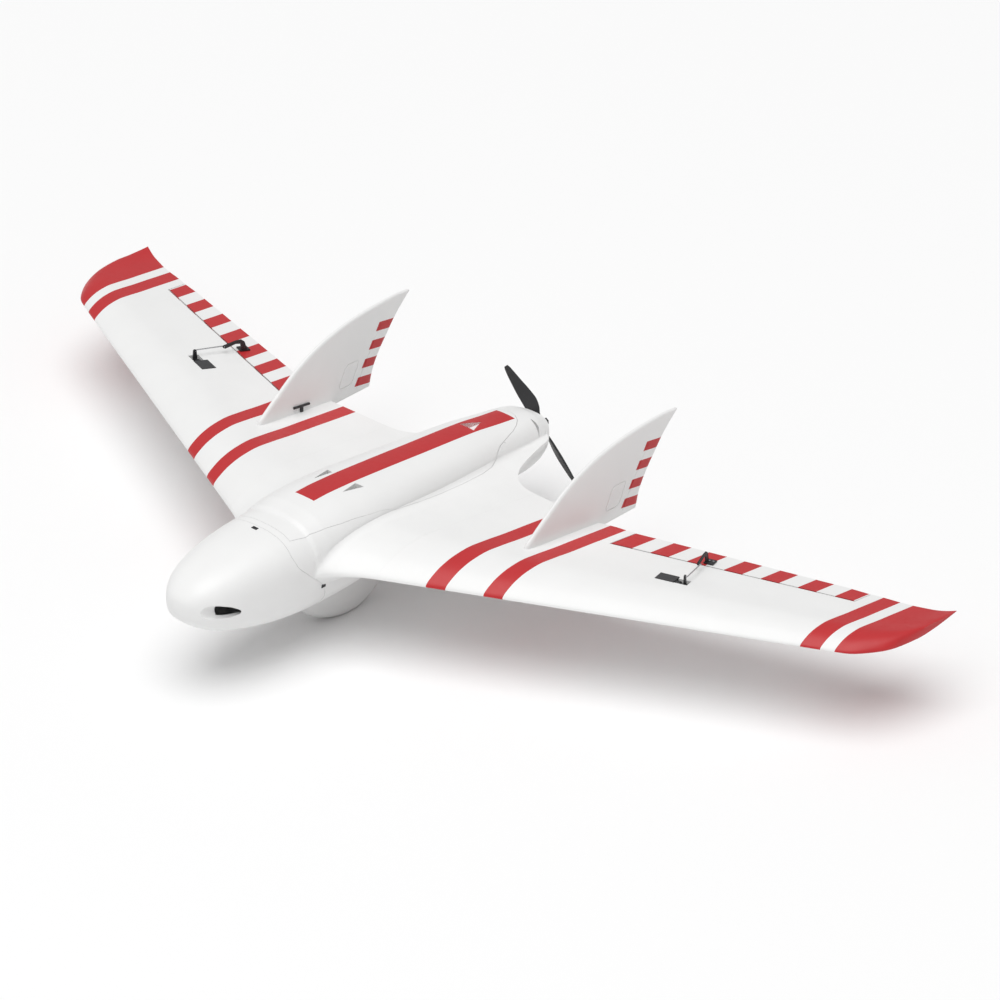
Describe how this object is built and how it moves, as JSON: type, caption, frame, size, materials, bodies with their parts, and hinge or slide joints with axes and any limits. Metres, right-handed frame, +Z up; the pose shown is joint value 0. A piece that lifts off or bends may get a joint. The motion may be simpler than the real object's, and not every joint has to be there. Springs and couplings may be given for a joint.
{
  "type": "radio control flying wing",
  "caption": "Swept tail-less foam aircraft with a pusher propeller, twin fins, elevons with servo linkages, a lift-off hatch and a pull-off nose.",
  "frame": {"origin": "under the middle of the bounding box, on the keel's underside", "axes": "+Z up, nose towards -Y, left wing towards +X"},
  "size_m": [1.2148, 0.5782, 0.1991],
  "materials": {
    "foam_white": "satin moulded foam",
    "foam_keel": "satin moulded foam",
    "plastic_black": "moulded",
    "plastic_grey": "moulded",
    "steel": "plated",
    "motor_alloy": "anodised",
    "copper": "enamelled windings",
    "carbon": "pultruded carbon",
    "plywood": "plain",
    "battery_wrap": "shrink film",
    "strap": "woven",
    "circuit": "cased board"
  },
  "bodies": {
    "nose": {"nose_cone": "foam_white", "nose_catch_top": "plastic_black", "nose_catch_left": "plastic_black", "nose_catch_right": "plastic_black"},
    "hatch": {"hatch": "foam_white", "hatch_catch_left": "plastic_black", "hatch_catch_right": "plastic_black"},
    "rotor": {"motor_bell": "motor_alloy", "motor_shaft": "steel", "prop_collar": "steel", "propeller": "plastic_black", "prop_washer": "steel", "prop_nut": "plastic_black"},
    "elevon_left": {"elevon_left": "foam_white", "control_horn_left": "plastic_black", "horn_backplate_left": "plastic_black", "horn_screw_inner_left": "steel", "horn_screw_outer_left": "steel"},
    "servo_arm_left": {"servo_arm_left": "plastic_black", "arm_screw_left": "steel"},
    "pushrod_left": {"pushrod_left": "steel"},
    "elevon_right": {"elevon_right": "foam_white", "control_horn_right": "plastic_black", "horn_backplate_right": "plastic_black", "horn_screw_inner_right": "steel", "horn_screw_outer_right": "steel"},
    "servo_arm_right": {"servo_arm_right": "plastic_black", "arm_screw_right": "steel"},
    "pushrod_right": {"pushrod_right": "steel"},
    "airframe": {"battery": "battery_wrap", "battery_strap": "strap", "belly_keel": "foam_keel", "body_shell": "foam_white", "equipment_shelf": "plywood", "equipment_tray": "plywood", "fin_clip_left": "plastic_black", "fin_clip_right": "plastic_black", "fin_left": "foam_white", "fin_right": "foam_white", "flight_controller": "circuit", "keel_skid": "plastic_grey", "motor_mount": "plastic_black", "motor_stator": "copper", "mount_screw_1": "steel", "mount_screw_2": "steel", "mount_screw_3": "steel", "mount_screw_4": "steel", "receiver": "circuit", "servo_case_left": "plastic_black", "servo_case_right": "plastic_black", "servo_cover_left": "plastic_grey", "servo_cover_right": "plastic_grey", "spar_tube_main": "carbon", "spar_tube_rear": "carbon", "speed_controller": "circuit", "wing_left": "foam_white", "wing_right": "foam_white"}
  },
  "joints": [
    {"name": "nose_pull", "type": "slide", "parent": "airframe", "child": "nose", "axis": [0, -1, 0], "range_m": [0, 0.06]},
    {"name": "hatch_lift", "type": "slide", "parent": "airframe", "child": "hatch", "axis": [0, 0, 1], "range_m": [0, 0.08]},
    {"name": "propeller_spin", "type": "hinge", "parent": "airframe", "child": "rotor", "pos_m": [0, 0.2789, 0.1], "axis": [0, 1, 0], "continuous": true},
    {"name": "elevon_left_hinge", "type": "hinge", "parent": "airframe", "child": "elevon_left", "pos_m": [0.2485, 0.1222, 0.1115], "axis": [0.9468, 0.3215, -0.0149], "range_deg": [-18, 18]},
    {"name": "servo_arm_left_turn", "type": "hinge", "parent": "airframe", "child": "servo_arm_left", "pos_m": [0.36789, 0.10719, 0.11219], "axis": [0.9468, 0.3215, -0.0149], "range_deg": [-13, 13]},
    {"name": "pushrod_left_pivot", "type": "hinge", "parent": "servo_arm_left", "child": "pushrod_left", "pos_m": [0.36806, 0.10725, 0.12418], "axis": [0.9468, 0.3215, -0.0149], "range_deg": [-21, 21]},
    {"name": "elevon_right_hinge", "type": "hinge", "parent": "airframe", "child": "elevon_right", "pos_m": [-0.2485, 0.1222, 0.1115], "axis": [0.9468, -0.3215, 0.0149], "range_deg": [-18, 18]},
    {"name": "servo_arm_right_turn", "type": "hinge", "parent": "airframe", "child": "servo_arm_right", "pos_m": [-0.36789, 0.10719, 0.11219], "axis": [0.9468, -0.3215, 0.0149], "range_deg": [-13, 13]},
    {"name": "pushrod_right_pivot", "type": "hinge", "parent": "servo_arm_right", "child": "pushrod_right", "pos_m": [-0.36806, 0.10725, 0.12418], "axis": [0.9468, -0.3215, 0.0149], "range_deg": [-21, 21]}
  ],
  "couplings": [
    {"joint": "servo_arm_left_turn", "follows": "elevon_left_hinge", "ratio": 0.706},
    {"joint": "pushrod_left_pivot", "follows": "elevon_left_hinge", "ratio": -1.1276},
    {"joint": "servo_arm_right_turn", "follows": "elevon_right_hinge", "ratio": 0.706},
    {"joint": "pushrod_right_pivot", "follows": "elevon_right_hinge", "ratio": -1.1276}
  ]
}
